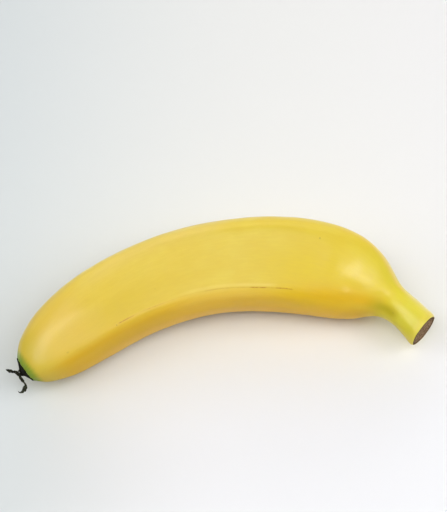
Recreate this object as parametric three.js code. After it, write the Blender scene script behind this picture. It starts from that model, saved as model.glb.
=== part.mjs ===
// A ripe banana lying on its side, with the dry remains of its flower at the tip.
//
// The fruit is one solid: five rounded ridges swept along a bend that lies in one plane.
// It is modelled flat, with its tip at -X, its stem at +X and its outer curve facing +Y, and is
// then leaned over into the position in which it rests. Millimetres and degrees, +Z up.
import * as THREE from 'three';

// ---- the bend: [distance along the axis from the tip, heading of the axis] ----
const AXIS_LENGTH = 177;
const HEADING = [
  [0, 42.5], [22, 41], [50, 28.5], [80, 13], [110, -2.5], [134, -18.5], [152, -34], [AXIS_LENGTH, -49],
];

// ---- the girth: [distance along the axis, mean radius] ----
const RADIUS = [
  [0, 5.6], [3, 8.8], [7, 11.3], [13, 13.8], [22, 15.8], [34, 17.1], [52, 17.8], [78, 18.4],
  [105, 19.2], [124, 19.4], [136, 18.4], [144, 16.5], [151, 12.9], [158, 8.3], [167, 7.1],
  [AXIS_LENGTH, 6.8],
];

// ---- the five faces, as angles from the outer curve towards the top ----
const FACE_ANGLES = [27, 105, 185, 251, 321];
// How sharply the faces meet: 2 is round, 9 is a soft ridge. [distance along the axis, value]
const RIDGE_SHARPNESS = [[0, 3], [15, 5], [35, 8], [110, 9], [132, 6], [150, 4.5], [AXIS_LENGTH, 3]];
// The ridges turn round the axis as they run to the tip. [distance along the axis, angle]
const RIDGE_TWIST = [[0, -14], [40, -7], [85, 0.5], [AXIS_LENGTH, 2]];

// ---- the two ends ----
// How far the two ends are out of square: each reaches further on the inside of the bend by the
// first angle, and on its upper side (lower side at the cut) by the second.
const TIP_SLANT = { inside: 9, upper: 16 };
const CUT_SLANT = { inside: 7, lower: 5 };
const SLANT_REACH = 16; // length over which a slanted end blends into the square sections

// ---- how it lies ----
const REST_ROLL = 11; // lean about X, inner curve down
const REST_PITCH = 1.6; // lean about Y, stem down
const CONTACT_DEPTH = 0.35; // how much of the peel is pressed flat where it touches the surface

// ---- the withered flower ----
const GAP = 0.3; // clearance between neighbouring pieces
const SCAR_THICKNESS = 1.1;
const NUB_RADIUS = 1.5;
const NUB_LENGTH = 2.6;
// Dry strands, from the end of the nub: [along X, along Y, up, half-width, half-thickness, turn]
const STYLE = [
  [-0.4, -0.1, 0.0, 0.5, 0.4, 10], [-1.2, 0.5, 0.7, 0.65, 0.35, 30], [-2.3, 0.4, 0.3, 0.42, 0.3, 60],
  [-3.0, 0.5, 0.5, 0.6, 0.25, 40], [-3.9, 0.6, 0.6, 0.75, 0.25, 20], [-5.4, 1.2, 0.9, 0.15, 0.12, 0],
];
const TEPAL = [
  [0.1, -0.5, -0.4, 0.6, 0.4, 70], [0.6, -1.6, -1.5, 0.55, 0.3, 40], [1.9, -2.3, -2.6, 0.5, 0.28, 10],
  [2.9, -3.6, -4.4, 0.65, 0.25, -10], [3.1, -4.2, -5.3, 0.9, 0.25, -20], [2.4, -4.7, -6.2, 1.1, 0.25, -30],
  [1.2, -4.9, -6.5, 0.8, 0.22, -20], [0.0, -5.0, -6.6, 0.4, 0.18, 0], [-0.8, -4.7, -6.0, 0.12, 0.1, 0],
];

// ---- mesh density ----
const FRUIT_SIDES = 44;
// [end of the stretch, number of rings in it]
const FRUIT_STRETCHES = [[14, 10], [128, 28], [160, 15], [AXIS_LENGTH, 6]];
const STRAND_SIDES = 8;
const STRAND_RINGS = 18;

const rad = THREE.MathUtils.degToRad;

// A natural cubic spline through [position, value] points, as a function of position.
function spline(points) {
  const count = points.length;
  const bends = new Array(count).fill(0);
  const carry = new Array(count).fill(0);
  for (let i = 1; i < count - 1; i += 1) {
    const [before, here, after] = [points[i - 1], points[i], points[i + 1]];
    const share = (here[0] - before[0]) / (after[0] - before[0]);
    const pivot = share * bends[i - 1] + 2;
    const slopeChange = (after[1] - here[1]) / (after[0] - here[0])
      - (here[1] - before[1]) / (here[0] - before[0]);
    bends[i] = (share - 1) / pivot;
    carry[i] = ((6 * slopeChange) / (after[0] - before[0]) - share * carry[i - 1]) / pivot;
  }
  for (let i = count - 2; i >= 0; i -= 1) {
    bends[i] = bends[i] * bends[i + 1] + carry[i];
  }
  return (position) => {
    let i = 1;
    while (i < count - 1 && position > points[i][0]) i += 1;
    const [low, high] = [points[i - 1], points[i]];
    const width = high[0] - low[0];
    const a = (high[0] - position) / width;
    const b = 1 - a;
    const curve = ((a ** 3 - a) * bends[i - 1] + (b ** 3 - b) * bends[i]) * (width ** 2 / 6);
    return a * low[1] + b * high[1] + curve;
  };
}

// Straight lines through [position, value] points.
function ramp(points) {
  return (position) => {
    let i = 1;
    while (i < points.length - 1 && position > points[i][0]) i += 1;
    const [low, high] = [points[i - 1], points[i]];
    return THREE.MathUtils.mapLinear(position, low[0], high[0], low[1], high[1]);
  };
}

// A closed solid through rings of points; a ring runs counter-clockwise seen from the last ring.
function solidThroughRings(rings) {
  const sides = rings[0].length;
  const centre = (ring) => ring.reduce((sum, p) => sum.add(p), new THREE.Vector3()).divideScalar(sides);
  const points = [...rings.flat(), centre(rings[0]), centre(rings[rings.length - 1])];
  const first = rings.length * sides;
  const last = first + 1;
  const faces = [];
  for (let side = 0; side < sides; side += 1) {
    const next = (side + 1) % sides;
    for (let ring = 0; ring < rings.length - 1; ring += 1) {
      const [a, b] = [ring * sides + side, ring * sides + next];
      faces.push(a, b, b + sides, a, b + sides, a + sides);
    }
    const end = (rings.length - 1) * sides;
    faces.push(first, next, side, last, end + side, end + next);
  }
  const geometry = new THREE.BufferGeometry().setFromPoints(points);
  geometry.setIndex(faces);
  geometry.computeVertexNormals();
  return geometry;
}

// The bend's axis: position, tangent, outward normal and upward binormal at a distance from the tip.
const heading = spline(HEADING);
const AXIS_STEP = 0.25;
function axisFrame(distance) {
  const steps = Math.max(1, Math.ceil(distance / AXIS_STEP));
  const position = new THREE.Vector3();
  for (let i = 0; i < steps; i += 1) {
    const angle = rad(heading(((i + 0.5) * distance) / steps));
    position.add(new THREE.Vector3(Math.cos(angle), Math.sin(angle), 0).multiplyScalar(distance / steps));
  }
  const angle = rad(heading(distance));
  return {
    position,
    tangent: new THREE.Vector3(Math.cos(angle), Math.sin(angle), 0),
    outward: new THREE.Vector3(-Math.sin(angle), Math.cos(angle), 0),
    upward: new THREE.Vector3(0, 0, 1),
  };
}

// Radii of the rounded five-sided section at evenly spaced angles, with a mean of 1.
function sectionRadii(sides, sharpness, twist) {
  const radii = Array.from({ length: sides }, (_, i) => {
    const angle = (360 * i) / sides - twist;
    const reach = FACE_ANGLES.map((face) => Math.max(0, Math.cos(rad(angle - face))) ** sharpness);
    return reach.reduce((sum, value) => sum + value, 0) ** (-1 / sharpness);
  });
  const mean = radii.reduce((sum, value) => sum + value, 0) / sides;
  return radii.map((value) => value / mean);
}

const radiusAt = spline(RADIUS);
const sharpnessAt = ramp(RIDGE_SHARPNESS);
const twistAt = spline(RIDGE_TWIST);

// One section of the fruit, leaned over near the two ends so that each end has its slant.
function fruitRing(distance, sides) {
  const { position, tangent, outward, upward } = axisFrame(distance);
  const radii = sectionRadii(sides, sharpnessAt(distance), twistAt(distance));
  const radius = radiusAt(distance);
  const tip = 1 - THREE.MathUtils.smoothstep(distance, 0, SLANT_REACH);
  const cut = THREE.MathUtils.smoothstep(distance, AXIS_LENGTH - SLANT_REACH, AXIS_LENGTH);
  const outwardLean = tip * Math.tan(rad(TIP_SLANT.inside)) - cut * Math.tan(rad(CUT_SLANT.inside));
  const upwardLean = -tip * Math.tan(rad(TIP_SLANT.upper)) - cut * Math.tan(rad(CUT_SLANT.lower));
  return radii.map((reach, i) => {
    const angle = (2 * Math.PI * i) / sides;
    const out = reach * radius * Math.cos(angle);
    const up = reach * radius * Math.sin(angle);
    return position.clone()
      .addScaledVector(outward, out)
      .addScaledVector(upward, up)
      .addScaledVector(tangent, outwardLean * out + upwardLean * up);
  });
}

function fruitGeometry() {
  const rings = [fruitRing(0, FRUIT_SIDES)];
  let start = 0;
  for (const [end, count] of FRUIT_STRETCHES) {
    for (let i = 1; i <= count; i += 1) {
      rings.push(fruitRing(start + ((end - start) * i) / count, FRUIT_SIDES));
    }
    start = end;
  }
  return solidThroughRings(rings);
}

// The direction in which the slanted end at the tip faces.
function endDirection() {
  const { tangent, outward, upward } = axisFrame(0);
  return tangent.clone().negate()
    .addScaledVector(outward, Math.tan(rad(TIP_SLANT.inside)))
    .addScaledVector(upward, -Math.tan(rad(TIP_SLANT.upper)))
    .normalize();
}

// The dry disc on the tip: a shallow dome that ends in a short nub, square to the slanted end.
function scarGeometry() {
  const rim = fruitRing(0, FRUIT_SIDES);
  const centre = axisFrame(0).position;
  const away = endDirection();
  // [share of the rim's size kept, distance out from the end of the fruit]
  const nub = NUB_RADIUS / RADIUS[0][1];
  const profile = [
    [nub * 0.75, GAP + NUB_LENGTH], [nub, GAP + NUB_LENGTH * 0.8], [nub, GAP + SCAR_THICKNESS + 0.4],
    [nub * 1.5, GAP + SCAR_THICKNESS], [0.75, GAP + SCAR_THICKNESS * 0.75],
    [0.95, GAP + SCAR_THICKNESS * 0.3], [0.98, GAP],
  ];
  const rings = profile.map(([share, distance]) => rim.map((point) => centre.clone()
    .addScaledVector(point.clone().sub(centre), share)
    .addScaledVector(away, distance)));
  return solidThroughRings(rings);
}

// A thin, twisted ribbon through stations of centre, half-width, half-thickness and turn.
function strandGeometry(root, stations) {
  const centres = stations.map(([x, y, z]) => new THREE.Vector3(x, y, z).add(root));
  const path = new THREE.CatmullRomCurve3(centres);
  const along = (column) => ramp(stations.map((station, i) => [i / (stations.length - 1), station[column]]));
  const [halfWidth, halfThickness, turn] = [along(3), along(4), along(5)];
  const rings = [];
  for (let i = 0; i <= STRAND_RINGS; i += 1) {
    const share = i / STRAND_RINGS;
    const tangent = path.getTangent(share);
    const side = new THREE.Vector3(0, 0, 1).cross(tangent).normalize();
    side.applyAxisAngle(tangent, rad(turn(share)));
    const face = tangent.clone().cross(side);
    rings.push(Array.from({ length: STRAND_SIDES }, (_, k) => {
      const angle = (2 * Math.PI * k) / STRAND_SIDES;
      return path.getPoint(share)
        .addScaledVector(side, halfWidth(share) * Math.cos(angle))
        .addScaledVector(face, halfThickness(share) * Math.sin(angle));
    }));
  }
  return solidThroughRings(rings);
}

const leanOver = new THREE.Matrix4().makeRotationY(rad(REST_PITCH))
  .multiply(new THREE.Matrix4().makeRotationX(rad(REST_ROLL)));

function leaned(geometry) {
  return geometry.applyMatrix4(leanOver);
}

// Presses everything below a level flat against it.
function flattenBelow(geometry, level) {
  const position = geometry.getAttribute('position');
  for (let i = 0; i < position.count; i += 1) {
    position.setZ(i, Math.max(position.getZ(i), level));
  }
  geometry.computeVertexNormals();
  geometry.computeBoundingBox();
}

function mesh(name, geometry, colour, roughness) {
  const material = new THREE.MeshStandardMaterial({ color: colour, roughness, metalness: 0 });
  const piece = new THREE.Mesh(geometry, material);
  piece.name = name;
  return piece;
}

const fruit = leaned(fruitGeometry());
fruit.computeBoundingBox();
flattenBelow(fruit, fruit.boundingBox.min.z + CONTACT_DEPTH);

const nubEnd = axisFrame(0).position
  .addScaledVector(endDirection(), GAP + NUB_LENGTH + GAP)
  .applyMatrix4(leanOver);

const banana = new THREE.Group();
banana.add(mesh('fruit', fruit, 0xe8cf58, 0.42));
banana.add(mesh('blossom_scar', leaned(scarGeometry()), 0x1c1a14, 0.8));
banana.add(mesh('dried_style', strandGeometry(nubEnd, STYLE), 0x2a2a22, 0.75));
banana.add(mesh('dried_tepal', strandGeometry(nubEnd, TEPAL), 0x34362c, 0.75));

// Origin under the middle of the whole piece, on the surface it lies on.
const box = new THREE.Box3().setFromObject(banana);
const middle = box.getCenter(new THREE.Vector3());
banana.position.set(-middle.x, -middle.y, -box.min.z);

export default banana;
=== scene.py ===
"""A ripe banana lying on a pale studio table.

The fruit is rebuilt here at fine resolution from the same few dimensions as its solid, with its
ridges, seam, dents, cut stem and pressed contact patches. Values named *_MM are millimetres.
A place on the skin is a distance along the bent axis from the tip, in mm, and an angle round it,
in degrees: 0 on the outer curve, 90 on the upper side, 180 on the inner curve and 270 underneath.
So half-lengths are in mm and half-widths are in degrees.
"""

import math

import bpy
import numpy as np
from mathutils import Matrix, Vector


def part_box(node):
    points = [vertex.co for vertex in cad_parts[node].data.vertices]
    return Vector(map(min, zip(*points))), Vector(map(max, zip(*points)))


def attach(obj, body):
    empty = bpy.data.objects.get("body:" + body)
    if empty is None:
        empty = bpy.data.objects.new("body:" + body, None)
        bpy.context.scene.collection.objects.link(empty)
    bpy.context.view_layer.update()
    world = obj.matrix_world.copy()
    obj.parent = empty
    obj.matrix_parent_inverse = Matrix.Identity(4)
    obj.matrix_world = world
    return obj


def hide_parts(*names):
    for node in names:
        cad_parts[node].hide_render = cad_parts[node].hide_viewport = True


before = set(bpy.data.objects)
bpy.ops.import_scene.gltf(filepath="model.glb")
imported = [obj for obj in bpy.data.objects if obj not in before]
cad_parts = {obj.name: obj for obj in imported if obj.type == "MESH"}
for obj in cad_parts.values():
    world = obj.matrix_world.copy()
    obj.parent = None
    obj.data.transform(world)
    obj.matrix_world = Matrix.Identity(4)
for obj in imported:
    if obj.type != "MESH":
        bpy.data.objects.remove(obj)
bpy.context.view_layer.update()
# One millimetre in metres
MM = 0.001

# ---------------------------------------------------------------- camera
# Degrees, metres for its distance and target, and millimetres for its lens and sensor
CAMERA_AZIMUTH = -1.13
CAMERA_ELEVATION = 56
CAMERA_DISTANCE = 0.74
CAMERA_LENS = 129.8
CAMERA_SENSOR = 36
CAMERA_CLIP = 0.01, 20
CAMERA_TARGET = (0.00137, 0.02187, 0.015)


def make_camera():
    data = bpy.data.cameras.new("camera")
    data.lens = CAMERA_LENS
    data.sensor_width = CAMERA_SENSOR
    data.clip_start, data.clip_end = CAMERA_CLIP
    camera = bpy.data.objects.new("camera", data)
    azimuth, elevation = math.radians(CAMERA_AZIMUTH), math.radians(CAMERA_ELEVATION)
    back = Vector((
        math.sin(azimuth) * math.cos(elevation),
        -math.cos(azimuth) * math.cos(elevation),
        math.sin(elevation),
    ))
    camera.location = Vector(CAMERA_TARGET) + back * CAMERA_DISTANCE
    camera.rotation_mode = "QUATERNION"
    camera.rotation_quaternion = back.to_track_quat("Z", "Y")
    bpy.context.collection.objects.link(camera)
    bpy.context.scene.camera = camera


make_camera()

# ---------------------------------------------------------------- driving dimensions of the fruit
AXIS_LENGTH_MM = 177.0
# The axis's heading and the section's size: [distance along, degrees or mm]
HEADING = [(0, 42.5), (22, 41), (50, 28.5), (80, 13), (110, -2.5), (134, -18.5), (152, -34), (177, -49)]
RADIUS_MM = [
    (0, 5.6), (3, 8.8), (7, 11.3), (13, 13.8), (22, 15.8), (34, 17.1), (52, 17.8), (78, 18.4),
    (105, 19.2), (124, 19.4), (136, 18.4), (144, 16.5), (151, 12.9), (158, 8.3), (167, 7.1), (177, 6.8),
]
# The middles of the five faces, how sharp the ridges between them are and how far they turn, in degrees
FACE_ANGLES = [27, 105, 185, 251, 321]
RIDGE_SHARPNESS = [(0, 3), (15, 5), (35, 8), (110, 9), (132, 6), (150, 4.5), (177, 3)]
RIDGE_TWIST = [(0, -14), (40, -7), (85, 0.5), (177, 2)]
TIP_SLANT = {"inside": 9, "upper": 16}
CUT_SLANT = {"inside": 7, "lower": 5}
SLANT_REACH_MM = 16
REST_ROLL, REST_PITCH = 11, 1.6

# ---------------------------------------------------------------- mesh density
SIDES = 232
# (end of the stretch in mm, number of rings in it)
STRETCHES = [(14, 50), (128, 180), (150, 44), (168, 50), (176, 22), (177, 8)]
# The rings of an end face crowd towards its middle; the shares of its rim at which they lie, inwards
END_RINGS, END_CROWDING = 18, 1.2
END_SHARES = np.linspace(1, 0, END_RINGS + 1)[1:-1] ** END_CROWDING
SCAR_SIDES = 160
STRAND_SIDES, STRAND_RINGS = 36, 110
# How finely the bent axis is added up, and the plain surface is measured
AXIS_SAMPLES = 4001
MEASURED_RINGS, MEASURED_SIDES = 300, 180

# ---------------------------------------------------------------- relief of the skin
SEED = 11
# Random unevenness: (number of waves, height in mm, (least, most) length in mm, (least, limit) round)
BROAD_DENTS = (9, 0.16, (28, 80), (1, 4))
SOFT_RIPPLE = (16, 0.030, (7, 18), (3, 9))
FINE_RIPPLE = (18, 0.010, (2.5, 6), (8, 22))
# Where the dents, the fine ripple and the ridges are: (starts, is full, fades, ends) in mm along
DENTED = (4, 16, 158, 172)
RIPPLED = (1, 6)
RIDGED = (14, 52, 140, 158)

# How each ridge and face departs from the smooth section: [angle, height in mm, half-width in degrees]
RIDGES = [
    (-6, -0.20, 13), (8, -0.60, 26), (68, -0.20, 14), (145, -0.12, 9), (172, 0.50, 18), (218, 0.08, 5),
    (286, -0.15, 12),
]
# The ridge along the upper side stands out most past the middle: [distance along, height in mm]
UPPER_RIDGE_ANGLE, UPPER_RIDGE_SPREAD = 51, 19
UPPER_RIDGE = [
    (0, 0), (20, 0), (50, 0.25), (70, 0.45), (90, 0.95), (105, 1.3), (140, 1.25), (158, 0), (177, 0),
]
# Gentle swellings and hollows: [distance along, half-length, angle round, half-width, height in mm]
SOFT_FORMS = [
    (16, 9, 113, 14, -0.43), (18, 7.5, 66, 13, -0.31), (31, 9.5, 96, 16, 0.66), (133.5, 5.5, 102, 25, 0.66),
    (142, 6.5, 127, 12.5, 0.59), (147, 6.5, 115, 15, -0.58), (148.5, 4.8, 88, 20, -0.64),
    (168, 12, 105, 15, 0.33), (168, 12, 92, 17, 0.38), (168, 12, 128, 18, -0.29),
    # the neck's crease, and the bulge and the hollow under the neck
    (162, 4.5, 140, 17, -0.55), (151, 5, 212, 42, 0.50), (166, 5, 212, 42, -0.62),
]

# The stem's main ridge: [distance along, angle round]
STEM_FORMED = (157, 164)
STEM_RIDGE = [(150, 118), (158, 124), (166, 126), (172, 129), (177, 131)]
# That ridge and the hollows beside it, by their angle from it, and the stem's low ridges, by their angle
# round: [angle, height in mm, half-width]
BESIDE_STEM_RIDGE = [(0, 0.34, 14), (38, -0.20, 20), (-30, -0.16, 15)]
LOW_STEM_RIDGES = [(12, 0.20, 16), (205, 0.22, 16), (275, 0.25, 16)]
# The flare under the cut, and the lip round it, which ends in a worn edge
CUT_FLARE_MM, CUT_FLARE, CUT_FLARE_ANGLE, CUT_FLARE_SPREAD = 0.45, (169, 176), 215, 45
CUT_LIP_MM, CUT_LIP, CUT_LIP_REACH = 0.22, 175.2, 1.6
CUT_WEAR_MM, CUT_WEAR = 0.30, (176.2, 177)
# Puckers where the skin is gathered in at the flower's scar: [height in mm, number round, start, drift]
PUCKERS = [(0.10, 11, 0.6, 0), (0.06, 17, 2.1, 0)]
# They fade out over this stretch
PUCKERS_FADE = (0.4, 4.5)

# The bruised seam along the inner ridge: [distance along, angle round]
SEAM = [
    (30, 132.5), (36, 133), (45, 134), (59, 136), (76, 136.7), (90, 138), (99, 139.6), (108, 140),
    (125, 140),
]
# Where it has browned, and the raised line beside it with its painted highlight: [distance along, strength]
SEAM_BROWN = [
    (0, 0), (36.8, 0), (37.6, 0.75), (44, 0.6), (46, 0.12), (50.5, 0.12), (52, 0.35), (57, 0.3),
    (60, 0.1), (77, 0.1), (80, 0.3), (93, 0.25), (98, 0.3), (100, 0.8), (105, 0.8), (107, 0.25),
    (110, 0.3), (111.5, 0.95), (117, 0.85), (118.5, 0), (177, 0),
]
SEAM_LINE_AND_HIGHLIGHT = [(0, 0), (62, 0), (74, 0.45), (92, 0.7), (98, 1), (107, 0.9), (112, 0), (177, 0)]
# The raised line: its height, its angle from the seam and its half-width
SEAM_LINE_MM, SEAM_LINE_GAP, SEAM_LINE_SPREAD = 0.09, -3.2, 2.6
# How far above the brown line the painted highlight lies, and where each fades out from its middle, in
# degrees
HIGHLIGHT_LINE_GAP, HIGHLIGHT_LINE_EDGE, BROWN_LINE_EDGE = 2.6, (0.4, 2.8), (0.15, 1.0)
SEAM_WOBBLE = 0.7

# ---------------------------------------------------------------- where the skin's colours lie
INNER_RIDGE_ANGLE = 145
# Round from the inner ridge: (starts, is full, fades, ends) in degrees
INNER_FACE = (-9, 9, 75, 120)
# The lower rim is painted paler, as painted light reflected from the table
LOWER_RIM = (30, 60, 80, 120)
# The stretches of the lower rim and of the lighter part of the inner face
LOWER_RIM_START = (10, 40)
INNER_LIGHT = (45, 70, 138, 154)
# Where the lower rim's painted reflected light is strongest: [distance along, half-length, what is added]
LOWER_RIM_REFLECTION_PEAKS = [(88, 18, 0.6), (145, 12, 0.5)]
# The golden fold along the inner ridge, which turns into the neck's crease: [distance along, angle round]
FOLD = [
    (0, 149), (60, 150), (100, 149), (120, 147), (130, 143.5), (140, 141), (150, 137.5), (163, 137.5),
    (177, 140),
]
GOLD_ALONG = [
    (0, 0.15), (20, 0.3), (60, 0.3), (75, 0.1), (105, 0.15), (120, 0.6), (132, 1), (154, 1),
    (166, 0), (177, 0),
]
GOLD_SPREAD, GOLD_WIDENS_BY, GOLD_WIDENS = 15, 4, (134, 150)
# The pale line on the fold and the deeper yellow flank near the tip: [distance along, strength]
FOLD_PALE_ALONG = [(0, 0), (58, 0), (72, 0.8), (95, 1), (106, 0.5), (116, 0), (177, 0)]
FOLD_PALE_GAP, FOLD_PALE_SPREAD = -4, 8
FLANK_ALONG = [(0, 0), (9, 0.6), (18, 1), (32, 1), (50, 0.75), (70, 0.3), (85, 0), (177, 0)]
FLANK_ANGLE, FLANK_SPREAD = 121, 26
# The paler stretch of the skin: (distance along, half-length)
PALE_STRETCH = (40, 40)
# The stem's green-yellow reaches further up the neck above the fold than under it
STEM_ABOVE_FOLD, STEM_UNDER_FOLD, UNDER_FOLD = (132, 158), (150, 164), (-6, 24)
# The skin's edge at the cut, the skin darker towards the tip's end, and the tip's warmer yellow
CUT_EDGE = (173, 176.5)
DARKER_TIP = (4, 14)
TIP_WARM = (3, 9, 20, 38)
# The green ring at the tip is widest round this angle: (least, what is added there)
TIP_GREEN_ANGLE, TIP_GREEN_REACH_MM, TIP_GREEN_STRENGTH = 120, (3.3, 2.0), (0.75, 0.25)
# Patches: [(starts, is full, fades, ends) along, the angle round of their middle, half-width in degrees]
PATCHES = {
    # The two crown patches are painted sheen: a paler band along the upper ridge
    "crown_sheen": ((26, 46, 82, 98), 66, 9),
    "crown_sheen_at_tip": ((4, 12, 24, 40), 56, 7),
    # painted rim light: a warm glow along the neck's upper edge
    "neck_rim_light": ((126, 142, 158, 170), 46, 15),
    "stem_top": ((160, 168), 34, 28),
    "stem_low": ((158, 163), 192, 20),
    "fold_at_left": ((20, 32, 66, 84), 135, 11),
    "below_tip": ((1, 5, 24, 36), 116, 14),
}
# Patches whose angle is counted from the fold
FOLD_PATCHES = {
    "warm_neck": ((94, 126, 156, 169), -30, 34),
    "stem_under": ((156, 163), 40, 56),
    # painted shade darkening the neck's crease
    "crease_shade": ((151, 160, 163, 168), 3, 16),
}
# How much of the painted sheen near the tip is added
CROWN_SHEEN_AT_TIP = 0.7
# How dull two of the patches are, and the stretch from which the gold is dull
STEM_UNDER_DULL, BELOW_TIP_DULL, GOLD_DULL = 0.8, 0.8, (118, 132)
# Dull spots on the neck and the shoulder: [distance along, half-length, angle round, half-width, dullness]
DULL_SPOTS = [(158, 5, 98, 26, 0.6), (141, 9, 127, 13, 0.8)]

# Each zone's colour and how far the skin goes over to it, painted in this order
ZONE_COLOURS = [
    ("flank", 0.80, (214, 184, 46)),
    ("inner_face", 1.0, (219, 172, 14)),
    ("inner_light", 1.0, (233, 184, 26)),
    # painted light reflected from the table onto the lower rim
    ("lower_rim_reflection", 0.60, (237, 191, 94)),
    ("stem", 0.85, (222, 212, 62)),
    ("warm_neck", 0.78, (223, 195, 6)),
    ("stem_under", 0.90, (204, 194, 40)),
    ("gold", 1.0, (222, 178, 0)),
    # painted shade darkening the neck's crease
    ("crease_shade", 0.95, (180, 164, 0)),
    ("tip_warm", 0.8, (221, 187, 64)),
    # painted sheen along the upper ridge
    ("crown_sheen", 0.5, (229, 202, 108)),
    # painted rim light along the neck's upper edge
    ("neck_rim_light", 0.6, (238, 194, 34)),
    ("stem_top", 0.6, (238, 220, 142)),
    ("stem_low", 0.6, (226, 210, 122)),
    ("fold_pale", 0.6, (228, 190, 78)),
    ("darker_tip", 0.85, (207, 182, 60)),
    ("cut_edge", 0.45, (230, 208, 86)),
]
# Small brown marks: [distance along, angle round, radius in mm, strength]
SPECKS = [
    (126, 79, 0.34, 0.45), (164, 136, 0.36, 0.7), (36, 133.5, 0.3, 0.5), (58, 118, 0.25, 0.2),
    (14, 128, 0.5, 0.2), (88, 30, 0.4, 0.5), (104, 350, 0.6, 0.6), (60, 320, 0.5, 0.5),
    (140, 20, 0.4, 0.4), (118, 300, 0.6, 0.6), (45, 250, 0.5, 0.5), (95, 232, 0.5, 0.5),
    (130, 255, 0.4, 0.45),
]
# The radius of the even tube on which the skin's patterns are laid out
SKIN_RADIUS_MM = 18.0

# ---------------------------------------------------------------- the ends
# The faces of both ends and the scar: [share of the rim, distance out of the end in mm]
TIP_PROFILE = [(1, 0), (0.9, -0.1), (0, -0.1)]
CUT_PROFILE = [(1, 0), (0.97, 0.03), (0.93, -0.22), (0.88, -0.26), (0.8, -0.05), (0.4, 0.0), (0, -0.15)]
SCAR_PROFILE = [
    (0.60, -0.30), (0.93, -0.28), (1.005, -0.12), (1.02, 0.06), (0.99, 0.22), (0.93, 0.40),
    (0.83, 0.68), (0.72, 0.98), (0.61, 1.26), (0.50, 1.52), (0.41, 1.78), (0.34, 2.02),
    (0.29, 2.26), (0.26, 2.5), (0.255, 2.75), (0.23, 2.88), (0.18, 2.80), (0.11, 2.55), (0.05, 2.45),
]
# The middle of the nub's end lies below its last ring
NUB_DIMPLE_MM = -0.05
# Both faces have fibrous rays, by their number round, that turn towards the middle, and lower wavy rings
TIP_ROUGHNESS_MM, CUT_ROUGHNESS_MM = 0.05, 0.07
END_RAYS, END_RAY_TURN = (3, 5, 8, 13), 9 / 4
END_RING_HEIGHT, END_RING_PACE, END_RING_WAVES, END_RING_WAVINESS = 0.7, 23, 3, 2
# Unevenness of the scar: [height, number round, start, drift]
SCAR_FOLDS = [(0.050, 7, 1.3, 0), (0.035, 13, 4.0, 0), (0.020, 29, 0, 9)]
SCAR_RAGGED_RIM = [(0.020, 17, 0, 0), (0.016, 41, 2, 0)]
SCAR_CREASES = [(0.07, 9, 0, 6), (0.05, 21, 0, -5)]
SCAR_TORN_NUB = [(0.16, 3, 0.8, 0), (0.08, 8, 0, 0)]
# Where the scar is ragged and creased, as shares of the rim, and how far out it is creased and torn
RAGGED_FROM_SHARE, CREASED_SHARES, CREASED_FROM_MM, TORN_FROM_MM = 0.9, (0.1, 0.6), 0.1, 2.4

# ---------------------------------------------------------------- the dry strands
# How far out of the fruit's end the strands start
NUB_REACH_MM = 3.2
# From there, in mm: [along X, along Y, up, half-width, half-thickness, turn in degrees, cup]
STYLE = [
    [0.60, 0.40, 0.10, 0.60, 0.50, 0, 0.0], [-0.40, -0.10, 0.00, 0.72, 0.45, -10, 0.0],
    [-1.05, 0.30, 0.32, 0.74, 0.36, -30, 0.2], [-1.60, 0.58, 0.60, 0.66, 0.30, -45, 0.3],
    [-2.35, 0.62, 0.62, 0.44, 0.26, -30, 0.2], [-3.05, 0.74, 0.74, 0.60, 0.22, -20, 0.4],
    [-3.80, 0.90, 0.90, 0.70, 0.20, -30, 0.5], [-4.60, 1.16, 1.06, 0.46, 0.16, -40, 0.3],
    [-5.35, 1.42, 1.25, 0.10, 0.08, -40, 0.0],
]
TEPAL = [
    [0.35, 0.20, 0.10, 0.55, 0.40, 20, 0.0], [0.00, -0.35, -0.25, 0.60, 0.36, 15, 0.0],
    [0.25, -1.12, -0.90, 0.55, 0.28, 10, 0.2], [0.95, -2.00, -1.70, 0.66, 0.24, -10, 0.5],
    [1.65, -2.62, -2.40, 0.46, 0.22, -40, 0.3], [2.00, -3.05, -2.95, 0.44, 0.18, -25, 0.2],
    [1.95, -3.62, -3.85, 0.84, 0.16, 0, 0.4], [1.70, -4.15, -4.70, 1.05, 0.15, 10, 0.5],
    [1.05, -4.60, -5.40, 0.95, 0.14, 15, 0.5], [0.20, -4.86, -5.85, 0.46, 0.12, 10, 0.3],
    [-0.55, -4.80, -5.78, 0.22, 0.10, 0, 0.1], [-0.95, -4.52, -5.40, 0.08, 0.06, 0, 0.0],
]
# Unevenness of a strand, in half-widths: [height, radians in each mm, start, drift across it]
STRAND_RAGGED = [(0.10, 5.1, 0, 2), (0.07, 13, 0, 5)]
STRAND_CRINKLE = [(0.07, 7, 0, 3), (0.042, 17, 0, -6)]
# A strand's section, in half-thicknesses: thin at its edges, with a midrib and fine ribs beside it
EDGE_THICKNESS, MIDRIB_THICKNESS, MIDRIB_HALF_WIDTH = 0.55, 0.45, 0.28
RIB_THICKNESS, RIB_PACE = 0.12, 9
# The square of the place across a cupped strand that stays level
CUP_LEVEL = 0.4


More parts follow.
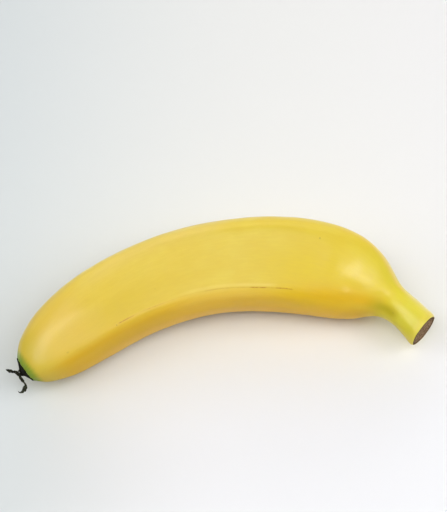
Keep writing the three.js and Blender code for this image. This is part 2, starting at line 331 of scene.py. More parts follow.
# ---------------------------------------------------------------- small mathematics
def spline(points):
    """A natural cubic spline through (position, value) points, as a function of position."""
    x = np.array([p[0] for p in points], float)
    y = np.array([p[1] for p in points], float)
    width = np.diff(x)
    count = len(x)
    system = np.eye(count)
    right = np.zeros(count)
    for i in range(1, count - 1):
        system[i, i - 1:i + 2] = width[i - 1], 2 * (width[i - 1] + width[i]), width[i]
        right[i] = 6 * ((y[i + 1] - y[i]) / width[i] - (y[i] - y[i - 1]) / width[i - 1])
    bend = np.linalg.solve(system, right)

    def value(position):
        position = np.asarray(position, float)
        i = np.clip(np.searchsorted(x, position) - 1, 0, count - 2)
        a = (x[i + 1] - position) / width[i]
        b = 1 - a
        curve = ((a ** 3 - a) * bend[i] + (b ** 3 - b) * bend[i + 1]) * width[i] ** 2 / 6
        return a * y[i] + b * y[i + 1] + curve

    return value


def ramp(points):
    """Straight lines through (position, value) points."""
    x, y = zip(*points)
    return lambda position: np.interp(position, x, y)


def smoothstep(low, high, value):
    share = np.clip((value - low) / (high - low), 0, 1)
    return share * share * (3 - 2 * share)


def within(stretch, value):
    """1 inside a stretch (starts, is full, fades, ends) and 0 outside; a pair only starts."""
    start, full, *fading = stretch
    risen = smoothstep(start, full, value)
    return risen * (1 - smoothstep(*fading, value)) if fading else risen


def bump(centre, half_width, value):
    """1 at the centre, falling smoothly to 0."""
    return np.exp(-(((value - centre) / half_width) ** 2))


def turned(gap):
    """The same angle between -180 and 180 degrees."""
    return (gap + 180) % 360 - 180


def angle_gap(around, degrees):
    """Signed difference in degrees between an angle in radians and one in degrees."""
    return turned(np.degrees(around) - degrees)


def spot(along, around, place, reach, degrees, spread):
    """1 at a place on the skin, falling smoothly to 0 in both directions."""
    return bump(place, reach, along) * bump(0, spread, angle_gap(around, degrees))


def ripples(rows, position, drift=0):
    """Sine waves [height, pace, start, drift] along a position, which may drift with a second value."""
    return sum(height * np.sin(pace * position + start + per_drift * drift)
               for height, pace, start, per_drift in rows)


def waves(rng, count, amplitude, lengths_mm, counts_round):
    """A seeded, smooth, uneven surface as a function of distance along and angle round."""
    draws = [(2 * np.pi / rng.uniform(*lengths_mm), rng.integers(*counts_round), rng.uniform(0, 2 * np.pi),
              rng.uniform(0.5, 1.0) * rng.choice([-1, 1])) for _ in range(count)]
    scale = amplitude / math.sqrt(count)

    def value(along, around):
        return scale * sum(size * np.sin(pace * along + turns * around + start)
                           for pace, turns, start, size in draws)

    return value


def rotation(axis, degrees):
    c, s = math.cos(math.radians(degrees)), math.sin(math.radians(degrees))
    return {
        "X": np.array([[1, 0, 0], [0, c, -s], [0, s, c]]),
        "Y": np.array([[c, 0, s], [0, 1, 0], [-s, 0, c]]),
    }[axis]


def full_turn(count):
    return np.linspace(0, 2 * np.pi, count, endpoint=False)


# ---------------------------------------------------------------- the fruit's surface
LEAN = rotation("Y", REST_PITCH) @ rotation("X", REST_ROLL)
heading_at = spline(HEADING)
radius_at = spline(RADIUS_MM)
sharpness_at = ramp(RIDGE_SHARPNESS)
twist_at = spline(RIDGE_TWIST)
seam_angle = spline(SEAM)
fold_angle = spline(FOLD)
stem_ridge_angle = spline(STEM_RIDGE)

rng = np.random.default_rng(SEED)
broad_dents = waves(rng, *BROAD_DENTS)
soft_ripple = waves(rng, *SOFT_RIPPLE)
fine_ripple = waves(rng, *FINE_RIPPLE)


def axis_frames(distance):
    """Positions, tangents and outward normals of the bent axis, in mm."""
    fine = np.linspace(0, AXIS_LENGTH_MM, AXIS_SAMPLES)
    angle = np.radians(heading_at(fine))
    step = np.diff(fine)
    x = np.r_[0, np.cumsum((np.cos(angle[1:]) + np.cos(angle[:-1])) / 2 * step)]
    y = np.r_[0, np.cumsum((np.sin(angle[1:]) + np.sin(angle[:-1])) / 2 * step)]
    position = np.stack([np.interp(distance, fine, x), np.interp(distance, fine, y), 0 * distance], -1)
    angle = np.radians(heading_at(distance))
    tangent = np.stack([np.cos(angle), np.sin(angle), 0 * angle], -1)
    outward = np.stack([-np.sin(angle), np.cos(angle), 0 * angle], -1)
    return position, tangent, outward


def section(angle, sharpness):
    """Radii of the rounded five-sided section, with a mean of 1."""
    reach = sum(np.maximum(0, np.cos(angle - math.radians(face))) ** sharpness for face in FACE_ANGLES)
    radii = reach ** (-1 / sharpness)
    return radii / radii.mean(axis=-1, keepdims=True)


def slope(degrees):
    return math.tan(math.radians(degrees))


def fruit_points(distance, turn, relief=None):
    """Points at (distance along, angle round): a grid of shape (rings, sides, 3), leaned over, in mm."""
    position, tangent, outward = axis_frames(distance)
    along, around = np.meshgrid(distance, turn, indexing="ij")
    radii = section(around - np.radians(twist_at(along)), sharpness_at(along)) * radius_at(along)
    if relief is not None:
        radii = radii + relief(along, around)
    out, up = radii * np.cos(around), radii * np.sin(around)
    tip = 1 - smoothstep(0, SLANT_REACH_MM, along)
    cut = smoothstep(AXIS_LENGTH_MM - SLANT_REACH_MM, AXIS_LENGTH_MM, along)
    shear = (tip * slope(TIP_SLANT["inside"]) - cut * slope(CUT_SLANT["inside"])) * out
    shear = shear - (tip * slope(TIP_SLANT["upper"]) + cut * slope(CUT_SLANT["lower"])) * up
    points = (position[:, None] + out[..., None] * outward[:, None]
              + up[..., None] * np.array([0, 0, 1.0]) + shear[..., None] * tangent[:, None])
    return points @ LEAN.T


def row_offset():
    """Where the start of the axis lies in the row frame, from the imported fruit's own box."""
    low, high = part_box("fruit")
    rings = np.linspace(0, AXIS_LENGTH_MM, MEASURED_RINGS)
    points = fruit_points(rings, full_turn(MEASURED_SIDES)).reshape(-1, 3)
    own_low, own_high = points.min(0), points.max(0)
    middle = (np.array(low) + np.array(high)) / MM / 2 - (own_low + own_high) / 2
    top = high[2] / MM - own_high[2]
    return np.array([middle[0], middle[1], top])


OFFSET_MM = row_offset()


def to_row(points):
    """Leaned-over millimetres to metres in the row frame, pressed flat on the table."""
    placed = (points + OFFSET_MM) * MM
    placed[..., 2] = np.maximum(placed[..., 2], 0)
    return placed


def ridge_relief(rows, gap):
    """Ridges and grooves [angle, height, half-width] at a gap from where their angles are counted."""
    return sum(height * bump(0, spread, turned(gap - degrees)) for degrees, height, spread in rows)


def stem_relief(along, around):
    """The ridges and hollows of the stem, in mm."""
    from_ridge = angle_gap(around, stem_ridge_angle(along))
    beside = ridge_relief(BESIDE_STEM_RIDGE, from_ridge)
    return within(STEM_FORMED, along) * (beside + ridge_relief(LOW_STEM_RIDGES, np.degrees(around)))


def cut_relief(along, around):
    """The flare and the lip at the stem's cut end, in mm."""
    flare = within(CUT_FLARE, along) * bump(0, CUT_FLARE_SPREAD, angle_gap(around, CUT_FLARE_ANGLE))
    lip = CUT_LIP_MM * bump(CUT_LIP, CUT_LIP_REACH, along) - CUT_WEAR_MM * within(CUT_WEAR, along)
    return CUT_FLARE_MM * flare + lip


def relief_mm(along, around):
    """Height of the skin above the smooth section, in mm."""
    height = within(DENTED, along) * (broad_dents(along, around) + soft_ripple(along, around))
    height = height + within(RIPPLED, along) * fine_ripple(along, around)
    twist = twist_at(along)
    height = height + within(RIDGED, along) * ridge_relief(RIDGES, angle_gap(around, twist))
    upper = bump(0, UPPER_RIDGE_SPREAD, angle_gap(around, UPPER_RIDGE_ANGLE + twist))
    height = height + ramp(UPPER_RIDGE)(along) * upper
    seam_line = bump(SEAM_LINE_GAP, SEAM_LINE_SPREAD, angle_gap(around, seam_angle(along)))
    height = height + SEAM_LINE_MM * seam_line * ramp(SEAM_LINE_AND_HIGHLIGHT)(along)
    for *place, lift in SOFT_FORMS:
        height = height + lift * spot(along, around, *place)
    height = height + stem_relief(along, around) + cut_relief(along, around)
    return height + ripples(PUCKERS, around) * (1 - within(PUCKERS_FADE, along))


# ---------------------------------------------------------------- the zones of the skin
def patch(row, along, gap):
    """A patch [stretch along, middle, half-width] at a gap from where its angle is counted."""
    stretch, middle, half_width = row
    return within(stretch, along) * bump(0, half_width, turned(gap - middle))


def dullness(along, around, zone, patches):
    """Where the skin is rougher and shines less."""
    dull = [
        zone["inner_face"], zone["crease_shade"], within(GOLD_DULL, along) * zone["gold"],
        patches["fold_at_left"], BELOW_TIP_DULL * patches["below_tip"],
        STEM_UNDER_DULL * zone["stem_under"],
    ]
    dull += [strength * spot(along, around, *place) for *place, strength in DULL_SPOTS]
    return np.maximum.reduce(dull)


def zones(along, around):
    """Where the skin's colours lie and where it is dull, each from 0 to 1."""
    from_ridge = angle_gap(around, INNER_RIDGE_ANGLE + twist_at(along))
    from_fold = angle_gap(around, fold_angle(along))
    inner = within(INNER_FACE, from_ridge)
    reflection_peaks = 1 + sum(strength * bump(place, reach, along) for place, reach, strength in LOWER_RIM_REFLECTION_PEAKS)
    gold_spread = GOLD_SPREAD + GOLD_WIDENS_BY * within(GOLD_WIDENS, along)
    under = within(UNDER_FOLD, from_fold)
    upper_tip = 0.5 + 0.5 * np.cos(around - math.radians(TIP_GREEN_ANGLE))
    green_reach = TIP_GREEN_REACH_MM[0] + TIP_GREEN_REACH_MM[1] * upper_tip
    green_strength = TIP_GREEN_STRENGTH[0] + TIP_GREEN_STRENGTH[1] * upper_tip
    patches = {name: patch(row, along, np.degrees(around)) for name, row in PATCHES.items()}
    zone = {name: patch(row, along, from_fold) for name, row in FOLD_PATCHES.items()}
    zone |= {
        "inner_face": inner,
        "inner_light": inner * within(INNER_LIGHT, along),
        # painted light reflected from the table onto the lower rim
        "lower_rim_reflection": within(LOWER_RIM, from_ridge) * within(LOWER_RIM_START, along) * reflection_peaks,
        "fold_pale": ramp(FOLD_PALE_ALONG)(along) * bump(FOLD_PALE_GAP, FOLD_PALE_SPREAD, from_fold),
        "gold": ramp(GOLD_ALONG)(along) * bump(0, gold_spread, from_fold),
        "flank": ramp(FLANK_ALONG)(along) * bump(0, FLANK_SPREAD, angle_gap(around, FLANK_ANGLE)),
        "stem": within(STEM_ABOVE_FOLD, along) * (1 - under) + within(STEM_UNDER_FOLD, along) * under,
        # painted sheen along the upper ridge
        "crown_sheen": patches["crown_sheen"] + CROWN_SHEEN_AT_TIP * patches["crown_sheen_at_tip"],
        # painted rim light along the neck's upper edge
        "neck_rim_light": patches["neck_rim_light"],
        "stem_top": patches["stem_top"],
        "stem_low": patches["stem_low"],
        "tip_warm": within(TIP_WARM, along) * (1 - inner),
        "darker_tip": 1 - within(DARKER_TIP, along),
        "tip_green": (1 - smoothstep(0.0, green_reach, along)) * green_strength,
        "cut_edge": within(CUT_EDGE, along),
        "pale": bump(*PALE_STRETCH, along) * (1 - inner),
    }
    return zone | {"matte": dullness(along, around, zone, patches)}


# ---------------------------------------------------------------- meshes
def mesh_object(name, vertices, faces, *materials):
    mesh = bpy.data.meshes.new(name)
    mesh.from_pydata([tuple(v) for v in vertices], [], [tuple(int(i) for i in f) for f in faces])
    mesh.validate()
    mesh.polygons.foreach_set("use_smooth", [True] * len(mesh.polygons))
    for material in materials:
        mesh.materials.append(material)
    piece = bpy.data.objects.new(name, mesh)
    bpy.context.collection.objects.link(piece)
    return piece


def ring_faces(rings, sides):
    """Quads between rings, and a fan on a centre point at each end."""
    i, j = np.meshgrid(np.arange(rings - 1), np.arange(sides), indexing="ij")
    a, b = i * sides + j, i * sides + (j + 1) % sides
    quads = np.stack([a, b, b + sides, a + sides], -1).reshape(-1, 4).tolist()
    first, last, end = rings * sides, rings * sides + 1, (rings - 1) * sides
    fans = [(first, (k + 1) % sides, k) for k in range(sides)]
    fans += [(last, end + k, end + (k + 1) % sides) for k in range(sides)]
    return quads + fans


def set_attribute(piece, name, values):
    attribute = piece.data.attributes.new(name, "FLOAT", "POINT")
    attribute.data.foreach_set("value", np.asarray(values, np.float32).ravel())


def set_vector(piece, name, values):
    attribute = piece.data.attributes.new(name, "FLOAT_VECTOR", "POINT")
    attribute.data.foreach_set("vector", np.asarray(values, np.float32).ravel())


def ring_distances():
    parts, start = [np.array([0.0])], 0.0
    for end, count in STRETCHES:
        parts.append(np.linspace(start, end, count + 1)[1:])
        start = end
    return np.concatenate(parts)


def end_normal(ring, inner_ring):
    """Unit direction out of the end that a ring closes."""
    centre = ring.mean(0)
    normal = np.cross(ring[0] - centre, ring[len(ring) // 4] - centre)
    normal /= np.linalg.norm(normal)
    return normal if normal @ (centre - inner_ring.mean(0)) > 0 else -normal


def end_ripple(share, around, amount):
    """Fibrous unevenness of a dry end face, in mm; share is 1 at the rim and 0 in the middle."""
    rays = sum(np.sin(k * around + END_RAY_TURN * share * k + k * k) for k in END_RAYS) / len(END_RAYS)
    rings = np.sin(END_RING_PACE * share + END_RING_WAVINESS * np.sin(END_RING_WAVES * around))
    return amount * (share * rays + END_RING_HEIGHT * rings)


def end_rings(ring, away, around, profile, roughness_mm):
    """Rings that close an end: profile gives (share of the rim, distance out) pairs."""
    centre = ring.mean(0)
    shares, depths = zip(*profile)
    rings = []
    for share in END_SHARES:
        depth = np.interp(share, shares[::-1], depths[::-1]) + end_ripple(share, around, roughness_mm)
        rings.append(centre + (ring - centre) * share + depth[:, None] * away)
    return rings, centre + away * depths[-1]


# The fruit's materials, in the order in which it is given them
PEEL_SLOT, CUT_SLOT, DRY_SLOT = 0, 1, 2


def material_slots(face_count, ring_count):
    """The fruit's faces wear the peel, with dry tissue at the tip's end and cut stem at the other."""
    slots = np.full(face_count, PEEL_SLOT, np.int32)
    end_faces = len(END_SHARES) * SIDES
    quads = (ring_count - 1) * SIDES
    slots[:end_faces] = DRY_SLOT
    slots[quads - end_faces:quads] = CUT_SLOT
    slots[quads:quads + SIDES] = DRY_SLOT
    slots[quads + SIDES:] = CUT_SLOT
    return slots


def lay_out_skin(piece, distance, around):
    """Give each point of the fruit its place on an even tube and its share of each zone."""
    added = len(END_SHARES)
    along = np.r_[np.zeros(added), distance, np.full(added, AXIS_LENGTH_MM)]
    share = np.r_[END_SHARES[::-1], np.ones(len(distance)), END_SHARES]
    a, t = np.meshgrid(along, around, indexing="ij")
    r = SKIN_RADIUS_MM * share[:, None]
    skin = np.stack([a, r * np.sin(t), -r * np.cos(t)], -1).reshape(-1, 3)
    set_vector(piece, "skin", np.concatenate([skin, [(0, 0, 0), (AXIS_LENGTH_MM, 0, 0)]]))
    rows = {"rim": share, "seam_brown": ramp(SEAM_BROWN)(along), "seam_highlight": ramp(SEAM_LINE_AND_HIGHLIGHT)(along)}
    for name, values in rows.items():
        set_attribute(piece, name, np.r_[np.repeat(values, SIDES), 0, 0])
    for name, zone in zones(a, t).items():
        set_attribute(piece, name, np.r_[zone.ravel(), 0, 0])


def make_fruit(peel, cut, dry):
    distance = ring_distances()
    around = full_turn(SIDES)
    grid = fruit_points(distance, around, relief_mm)
    tip_away, cut_away = end_normal(grid[0], grid[3]), end_normal(grid[-1], grid[-4])
    tip, tip_centre = end_rings(grid[0], tip_away, around, TIP_PROFILE, TIP_ROUGHNESS_MM)
    stump, stump_centre = end_rings(grid[-1], cut_away, around, CUT_PROFILE, CUT_ROUGHNESS_MM)
    rings = np.array(tip[::-1] + list(grid) + stump)
    vertices = to_row(np.concatenate([rings.reshape(-1, 3), [tip_centre, stump_centre]]))
    faces = ring_faces(len(rings), SIDES)
    piece = mesh_object("banana_peel", vertices, faces, peel, cut, dry)
    piece.data.polygons.foreach_set("material_index", material_slots(len(faces), len(rings)))
    lay_out_skin(piece, distance, around)
    return piece


# ---------------------------------------------------------------- the withered flower
def tip_frame():
    """The tip's end, leaned over, in mm: its centre, rim, outward direction and the angles round it."""
    around = full_turn(SCAR_SIDES)
    rings = fruit_points(np.array([0.0, 1.0]), around, relief_mm)
    return rings[0].mean(0), rings[0], end_normal(rings[0], rings[1]), around


def scar_ring(share, out, centre, rim, away, around):
    """One uneven ring of the scar, at a share of the fruit's rim and a distance out of its end."""
    spread = share * (1 + ripples(SCAR_FOLDS, around, share) * (1 - abs(share - 0.5)))
    height = out + 0 * around
    if share > RAGGED_FROM_SHARE:
        spread = spread + ripples(SCAR_RAGGED_RIM, around)
    if out > CREASED_FROM_MM:
        height = height + ripples(SCAR_CREASES, around, share) * within(CREASED_SHARES, share)
    if out > TORN_FROM_MM:
        height = height + ripples(SCAR_TORN_NUB, around)
    return centre + (rim - centre) * spread[:, None] + np.multiply.outer(height, away)


def make_scar(material):
    """A shallow puckered cone of dry tissue with a torn nub in the middle."""
    centre, rim, away, around = tip_frame()
    rings = np.array([scar_ring(share, out, centre, rim, away, around) for share, out in SCAR_PROFILE])
    # the profile runs outwards, so its rings are reversed to face out of the solid
    rings = rings[::-1]
    ends = [rings[0].mean(0) + away * NUB_DIMPLE_MM, rings[-1].mean(0)]
    vertices = to_row(np.concatenate([rings.reshape(-1, 3), ends]))
    return mesh_object("flower_scar", vertices, ring_faces(len(rings), SCAR_SIDES), material)


def make_strand(name, root, stations, material):
    """A dry twisted ribbon through stations [x, y, z, half-width, half-thickness, turn, cup]."""
    table = np.array(stations, float)
    length = np.r_[0, np.cumsum(np.linalg.norm(np.diff(table[:, :3], axis=0), axis=1))]
    place = np.linspace(0, length[-1], STRAND_RINGS)
    columns = [spline(list(zip(length, table[:, k]))) for k in range(3)]
    path = np.stack([column(place) for column in columns], -1) + root
    half_width, half_thick, turn, cup = (
        np.interp(place, length, table[:, k])[:, None] for k in range(3, 7))
    tangent = np.gradient(path, axis=0)
    tangent /= np.linalg.norm(tangent, axis=1)[:, None]
    side = np.cross([0, 0, 1.0], tangent)
    side /= np.linalg.norm(side, axis=1)[:, None]
    face = np.cross(tangent, side)
    c, s = np.cos(np.radians(turn)), np.sin(np.radians(turn))
    side, face = side * c + face * s, face * c - side * s
    angle = full_turn(STRAND_SIDES)
    across, through = np.cos(angle), np.sin(angle)
    near = place[:, None]
    width = half_width * across * (1 + ripples(STRAND_RAGGED, near, across))
    thickness = EDGE_THICKNESS + MIDRIB_THICKNESS * bump(0, MIDRIB_HALF_WIDTH, across)
    thickness = thickness + RIB_THICKNESS * np.cos(RIB_PACE * across)
    bowed = cup * (across ** 2 - CUP_LEVEL) + ripples(STRAND_CRINKLE, near, across)
    depth = half_thick * through * thickness + half_width * bowed
    points = path[:, None] + width[..., None] * side[:, None] + depth[..., None] * face[:, None]
    vertices = np.concatenate([points.reshape(-1, 3), [path[0], path[-1]]]) * MM
    vertices[:, 2] = np.maximum(vertices[:, 2], 0)
    return mesh_object(name, vertices, ring_faces(STRAND_RINGS, STRAND_SIDES), material)


def nub_end():
    """The end of the scar's nub in the row frame, in mm."""
    centre, _, away, _ = tip_frame()
    return centre + away * NUB_REACH_MM + OFFSET_MM


# ---------------------------------------------------------------- materials
def colour(red, green, blue):
    """Linear colour from display values out of 255."""
    return tuple(v / 12.92 if v <= 0.04045 else ((v + 0.055) / 1.055) ** 2.4
                 for v in (red / 255, green / 255, blue / 255)) + (1.0,)


class Graph:
    """Short calls for building a material's nodes."""

    def __init__(self, name, roughness=0.5):
        self.material = bpy.data.materials.new(name)
        self.material.use_nodes = True
        self.tree = self.material.node_tree
        self.shader = self.tree.nodes["Principled BSDF"]
        self.set("Roughness", roughness)

    def set(self, name, value):
        """Feed one of the shader's sockets, by its name."""
        self.feed(self.shader.inputs[name], value)

    def feed(self, socket, value):
        if isinstance(value, bpy.types.NodeSocket):
            self.tree.links.new(value, socket)
        else:
            socket.default_value = value

    def node(self, kind, **settings):
        node = self.tree.nodes.new("ShaderNode" + kind)
        for key, value in settings.items():
            setattr(node, key, value)
        return node

    def attribute(self, name, output="Fac"):
        return self.node("Attribute", attribute_name=name).outputs[output]

    def math(self, operation, *values):
        node = self.node("Math", operation=operation)
        for socket, value in zip(node.inputs, values):
            self.feed(socket, value)
        return node.outputs[0]

    def times(self, first, second):
        return self.math("MULTIPLY", first, second)

    def step(self, value, low, high, start=0.0, end=1.0):
        """From start to end, smoothly, while the value goes from low to high."""
        node = self.node("MapRange", interpolation_type="SMOOTHSTEP")
        for socket, item in zip(node.inputs, (value, low, high, start, end)):
            self.feed(socket, item)
        return node.outputs[0]

    def mix(self, share, first, second):
        node = self.node("Mix", data_type="RGBA")
        share_socket, first_socket, second_socket = (node.inputs[k] for k in (0, 6, 7))
        self.feed(share_socket, share)
        self.feed(first_socket, first)
        self.feed(second_socket, second)
        return node.outputs[2]

    def noise(self, vector, scale, detail=2.0, roughness=0.5):
        stretched = self.node("Mapping")
        self.feed(stretched.inputs["Vector"], vector)
        stretched.inputs["Scale"].default_value = scale
        node = self.node("TexNoise")
        self.feed(node.inputs["Vector"], stretched.outputs[0])
        node.inputs["Scale"].default_value = 1.0
        node.inputs["Detail"].default_value = detail
        node.inputs["Roughness"].default_value = roughness
        return node.outputs["Fac"]

    def skin_noise(self, skin, length_mm, width_mm, detail):
        """Noise whose patches have this length along the fruit and this width round it."""
        return self.noise(skin, (1 / length_mm, 1 / width_mm, 1 / width_mm), detail)

    def around_zero(self, noise, size):
        return self.times(self.math("SUBTRACT", noise, 0.5), size)

    def distance(self, vector, point):
        node = self.node("VectorMath", operation="DISTANCE")
        self.feed(node.inputs[0], vector)
        node.inputs[1].default_value = point
        return node.outputs["Value"]

    def bump(self, height, strength, distance_m, normal=None):
        node = self.node("Bump")
        node.inputs["Strength"].default_value = strength
        node.inputs["Distance"].default_value = distance_m
        self.feed(node.inputs["Height"], height)
        if normal is not None:
            self.feed(node.inputs["Normal"], normal)
        return node.outputs[0]


def skin_point(along, degrees):
    angle = math.radians(degrees)
    return (along, SKIN_RADIUS_MM * math.sin(angle), -SKIN_RADIUS_MM * math.cos(angle))


# A curve node holds the seam's angle, counted from the upper side, in shares of this many degrees
UPPER_SIDE, SEAM_SPAN = 90, 100
SEAM_POINTS = range(30, 126, 8)


def from_seam(g, skin):
    """Degrees round from the seam, which wobbles a little, as a material's value."""
    parts = g.node("SeparateXYZ")
    g.feed(parts.inputs[0], skin)
    along, side, up = parts.outputs
    from_upper_side = g.times(g.math("ARCTAN2", up, side), 180 / math.pi)
    curve = g.node("FloatCurve")
    g.feed(curve.inputs["Value"], g.math("DIVIDE", along, AXIS_LENGTH_MM))
    points = curve.mapping.curves[0].points
    table = [(place / AXIS_LENGTH_MM, (float(seam_angle(place)) - UPPER_SIDE) / SEAM_SPAN)
             for place in SEAM_POINTS]
    points[0].location, points[1].location = table[0], table[-1]
    for location in table[1:-1]:
        points.new(*location)
    curve.mapping.update()
    wobble = g.around_zero(g.skin_noise(skin, 4, 50, 3.0), SEAM_WOBBLE)
    centre = g.times(curve.outputs[0], SEAM_SPAN)
    return g.math("SUBTRACT", g.math("ADD", from_upper_side, wobble), centre)


def draw_seam(g, skin, yellow):
    """The raised line's painted highlight and, under it, the thin brown line that comes and goes."""
    offset = from_seam(g, skin)
    from_highlight = g.math("ABSOLUTE", g.math("ADD", offset, HIGHLIGHT_LINE_GAP))
    pale = g.times(g.step(from_highlight, *HIGHLIGHT_LINE_EDGE, 1.0, 0.0), g.attribute("seam_highlight"))
    # painted highlight along the raised line beside the seam
    yellow = g.mix(g.times(pale, 0.45), yellow, colour(*SEAM_HIGHLIGHT_YELLOW))
    uneven = g.step(g.skin_noise(skin, 2.2, 100, 3.0), 0.30, 0.60, 0.35, 1.0)
    brown = g.times(g.step(g.math("ABSOLUTE", offset), *BROWN_LINE_EDGE, 1.0, 0.0), uneven)
    brown = g.times(brown, g.attribute("seam_brown"))
    return g.mix(g.times(brown, 0.92), yellow, colour(*SEAM_BRUISE))


# The peel's colours apart from its zones: its ground in broad patches, pale middle and cloudy patches,
# the green tip, the fibres and pores, the seam with its painted highlight, and the small marks
GROUND_DEEP, GROUND_LIGHT = (222, 195, 64), (225, 201, 72)
GROUND_PALE, GROUND_CLOUDY = (226, 199, 74), (220, 190, 52)
UNRIPE_GREEN, FIBRE_TAN, PORE_TAN = (114, 148, 4), (196, 160, 50), (200, 150, 50)
SEAM_HIGHLIGHT_YELLOW, SEAM_BRUISE, SPECK_BROWN = (236, 214, 112), (176, 106, 2), (112, 72, 28)
PEEL_ROUGHNESS, DULL_SKIN_ADDS = (0.31, 0.38), 0.36


def peel_material():
    g = Graph("banana_peel")
    skin = g.attribute("skin", "Vector")
    broad = g.skin_noise(skin, 26, 12, 3.0)
    cloudy = g.skin_noise(skin, 9, 4.5, 2.0)
    fibres = g.skin_noise(skin, 5, 0.55, 3.0)
    grain = g.skin_noise(skin, 0.6, 0.6, 2.0)
    yellow = g.mix(g.step(broad, 0.35, 0.65), colour(*GROUND_DEEP), colour(*GROUND_LIGHT))
    yellow = g.mix(g.attribute("pale"), yellow, colour(*GROUND_PALE))
    yellow = g.mix(g.step(cloudy, 0.38, 0.66, 0, 0.30), yellow, colour(*GROUND_CLOUDY))
    for zone, strength, shade in ZONE_COLOURS:
        yellow = g.mix(g.times(g.attribute(zone), strength), yellow, colour(*shade))
    ragged_green = g.math("ADD", g.attribute("tip_green"), g.around_zero(fibres, 0.35))
    yellow = g.mix(g.step(ragged_green, 0.10, 0.95, 0, 0.95), yellow, colour(*UNRIPE_GREEN))
    yellow = g.mix(g.step(fibres, 0.30, 0.75, 0.10, 0.0), yellow, colour(*FIBRE_TAN))
    yellow = g.mix(g.step(grain, 0.62, 0.80, 0, 0.10), yellow, colour(*PORE_TAN))
    yellow = draw_seam(g, skin, yellow)
    for place, degrees, radius, strength in SPECKS:
        spread = g.math("ADD", g.distance(skin, skin_point(place, degrees)), g.times(grain, 0.3))
        mark = g.step(spread, radius * 0.5, radius + 0.25, strength, 0.0)
        yellow = g.mix(mark, yellow, colour(*SPECK_BROWN))
    dull = g.times(g.attribute("matte"), DULL_SKIN_ADDS)
    g.set("Base Color", yellow)
    g.set("Roughness", g.math("ADD", g.step(cloudy, 0.3, 0.7, *PEEL_ROUGHNESS), dull))
    g.set("Normal", g.bump(fibres, 0.25, 0.00010, g.bump(grain, 0.20, 0.00012)))
    g.set("IOR", 1.34)
    g.set("Coat Weight", 0.18)
    g.set("Coat Roughness", 0.28)
    g.set("Coat IOR", 1.45)
    g.set("Subsurface Weight", 0.12)
    g.set("Subsurface Radius", (1.0, 0.6, 0.15))
    g.set("Subsurface Scale", 0.0025)
    return g.material


# The cut stem's fibres in coarse patches, its dark pits and pale flecks, and its dark rim and pale edge
CUT_DARK, CUT_LIGHT, CUT_PIT, CUT_FLECK = (116, 84, 56), (160, 130, 98), (84, 60, 38), (190, 166, 134)
CUT_RIM, CUT_SKIN_EDGE = (74, 54, 32), (176, 140, 70)


def cut_material():
    """Dried brown fibres of the stem's cut end, darker near the rim, with a thin paler edge."""
    g = Graph("cut_stem", 0.85)
    skin = g.attribute("skin", "Vector")
    rim = g.attribute("rim")
    coarse = g.noise(skin, (0.6, 0.42, 0.42), 3.0, 0.6)
    fine = g.noise(skin, (1.1, 1.1, 1.1), 3.0, 0.65)
    brown = g.mix(g.step(coarse, 0.40, 0.60), colour(*CUT_DARK), colour(*CUT_LIGHT))
    brown = g.mix(g.step(fine, 0.38, 0.56, 0.65, 0.0), brown, colour(*CUT_PIT))
    brown = g.mix(g.step(fine, 0.58, 0.70, 0.0, 0.65), brown, colour(*CUT_FLECK))
    brown = g.mix(g.step(rim, 0.76, 0.90, 0.0, 0.85), brown, colour(*CUT_RIM))
    brown = g.mix(g.step(rim, 0.965, 0.995, 0.0, 0.9), brown, colour(*CUT_SKIN_EDGE))
    g.set("Base Color", brown)
    g.set("Normal", g.bump(fine, 0.7, 0.0003))
    g.set("IOR", 1.25)
    return g.material


def dry_material(name, dark, light, vein):
    """Withered flower parts: near-black, fibrous, with paler veins and scales."""
    g = Graph(name, 0.8)
    place = g.node("TexCoord").outputs["Object"]
    coarse = g.noise(place, (900, 900, 900), 3.0)
    fine = g.noise(place, (2600, 2600, 2600), 3.0, 0.6)
    shade = g.mix(g.step(coarse, 0.35, 0.68), colour(*dark), colour(*light))
    shade = g.mix(g.step(fine, 0.56, 0.74, 0.0, 0.5), shade, colour(*vein))
    g.set("Base Color", shade)
    g.set("Roughness", g.step(fine, 0.3, 0.7, 0.62, 0.9))
    g.set("Normal", g.bump(fine, 0.8, 0.0002))
    g.set("Specular IOR Level", 0.08)
    return g.material


# The table's shades from left to right, over a width in metres: [share of the width, linear colour]
TABLE_LEFT, TABLE_WIDTH = -0.30, 0.5
TABLE_SHADES = [
    (0.0, (0.52, 0.57, 0.59)), (0.30, (0.60, 0.65, 0.66)), (0.42, (0.655, 0.69, 0.695)),
    (0.52, (0.74, 0.755, 0.745)), (0.62, (0.795, 0.795, 0.78)), (0.72, (0.82, 0.815, 0.80)),
    (0.85, (0.835, 0.825, 0.825)), (1.0, (0.845, 0.835, 0.84)),
]
# Painted light makes it whiter in front of the fruit, between these distances in metres, right of these
# shares
TABLE_LIT_FRONT, TABLE_LIT_FRONT_SHARES = (-0.055, -0.002), (0.42, 0.62)
TABLE_LIT_FRONT_COLOUR = (0.862, 0.862, 0.885, 1)


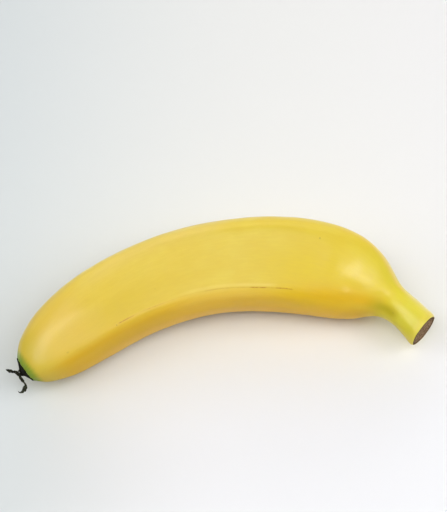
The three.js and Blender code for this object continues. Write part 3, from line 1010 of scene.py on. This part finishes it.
def table_material():
    """White studio board, cooler and greyer towards the left, and whiter in front of the fruit with painted
    light.
    """
    g = Graph("table", 0.9)
    place = g.node("SeparateXYZ")
    g.feed(place.inputs[0], g.node("TexCoord").outputs["Object"])
    across = g.times(g.math("SUBTRACT", place.outputs[0], TABLE_LEFT), 1 / TABLE_WIDTH)
    ramp_node = g.node("ValToRGB")
    g.feed(ramp_node.inputs[0], across)
    ramp_node.color_ramp.interpolation = "B_SPLINE"
    elements = ramp_node.color_ramp.elements
    while len(elements) < len(TABLE_SHADES):
        elements.new(0.5)
    for element, (position, shade) in zip(elements, TABLE_SHADES):
        element.position = position
        element.color = (*shade, 1)
    # painted light: the floor just in front of the fruit is whiter
    front = g.times(g.step(place.outputs[1], *TABLE_LIT_FRONT, 1.0, 0.0), g.step(across, *TABLE_LIT_FRONT_SHARES))
    g.set("Base Color", g.mix(front, ramp_node.outputs[0], TABLE_LIT_FRONT_COLOUR))
    g.set("Specular IOR Level", 0.1)
    return g.material


# ---------------------------------------------------------------- the pieces
dry_scar = dry_material("dry_scar", (7, 6, 1), (20, 18, 9), (84, 76, 60))
dry_style = dry_material("dry_style", (25, 25, 16), (48, 49, 36), (92, 90, 70))
dry_tepal = dry_material("dry_tepal", (36, 37, 26), (60, 62, 48), (98, 96, 70))

fruit = make_fruit(peel_material(), cut_material(), dry_scar)
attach(fruit, "root")
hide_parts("fruit")

scar = make_scar(dry_scar)
style = make_strand("dry_style", nub_end(), STYLE, dry_style)
tepal = make_strand("dry_tepal", nub_end(), TEPAL, dry_tepal)
for piece, node in ((scar, "blossom_scar"), (style, "dried_style"), (tepal, "dried_tepal")):
    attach(piece, "root")
    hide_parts(node)

# ---------------------------------------------------------------- stage
FLOOR_REACH = 3.0
WORLD_COLOUR, WORLD_STRENGTH = (0.97, 0.98, 1.0, 1), 0.245
LIGHT_TARGET = (0, 0, 0.02)
SHADING, GLOSS = "shading", "gloss"
# Each soft box either lights the skin or shows in its gloss: [name, place, size, power, which of the two]
SOFT_BOXES = [
    ("left_box", (-0.361, -0.216, 0.964), (0.24, 0.24), 2.1, GLOSS),
    ("left_top", (-0.361, -0.216, 0.964), (0.5, 0.5), 1.8, SHADING),
    ("right_box", (0.545, -0.600, 0.661), (0.34, 0.34), 6.0, GLOSS),
    ("stem_box", (-0.40, -0.48, 0.76), (0.16, 0.16), 1.9, GLOSS),
    ("front", (0.0, -0.45, 1.1), (0.8, 0.6), 4.75, SHADING),
    ("front_glow", (0.0, -0.45, 1.1), (0.8, 0.6), 2.1, GLOSS),
    ("right_wall", (0.8, -0.2, 0.8), (0.6, 0.8), 5.25, SHADING),
    ("right_glow", (0.8, -0.2, 0.8), (0.6, 0.8), 1.2, GLOSS),
    ("left_wall", (-0.8, -0.2, 0.8), (0.6, 0.8), 2.8, SHADING),
    ("back_low", (0.0, 1.2, 0.35), (1.6, 0.6), 8.1, SHADING),
    ("back_low_glow", (0.0, 1.2, 0.35), (1.6, 0.6), 3.1, GLOSS),
    ("back_glow", (0.0, 0.7, 1.0), (1.0, 0.6), 3.1, GLOSS),
]


def make_floor():
    mesh = bpy.data.meshes.new("floor")
    corners = [(x * FLOOR_REACH, y * FLOOR_REACH, 0) for x, y in ((-1, -1), (1, -1), (1, 1), (-1, 1))]
    mesh.from_pydata(corners, [], [(0, 1, 2, 3)])
    floor = bpy.data.objects.new("floor", mesh)
    mesh.materials.append(table_material())
    bpy.context.collection.objects.link(floor)


def make_light(name, place, size, power, role):
    data = bpy.data.lights.new(name, "AREA")
    data.shape = "RECTANGLE"
    data.size, data.size_y = size
    data.energy = power
    light = bpy.data.objects.new(name, data)
    light.location = place
    light.rotation_mode = "QUATERNION"
    light.rotation_quaternion = (Vector(place) - Vector(LIGHT_TARGET)).to_track_quat("Z", "Y")
    light.visible_glossy, light.visible_diffuse = role == GLOSS, role == SHADING
    bpy.context.collection.objects.link(light)


def make_world():
    world = bpy.data.worlds.new("studio")
    bpy.context.scene.world = world
    world.use_nodes = True
    background = world.node_tree.nodes["Background"]
    background.inputs["Color"].default_value = WORLD_COLOUR
    background.inputs["Strength"].default_value = WORLD_STRENGTH
    bpy.context.scene.view_settings.view_transform = "Standard"


make_floor()
make_world()
for soft_box in SOFT_BOXES:
    make_light(*soft_box)
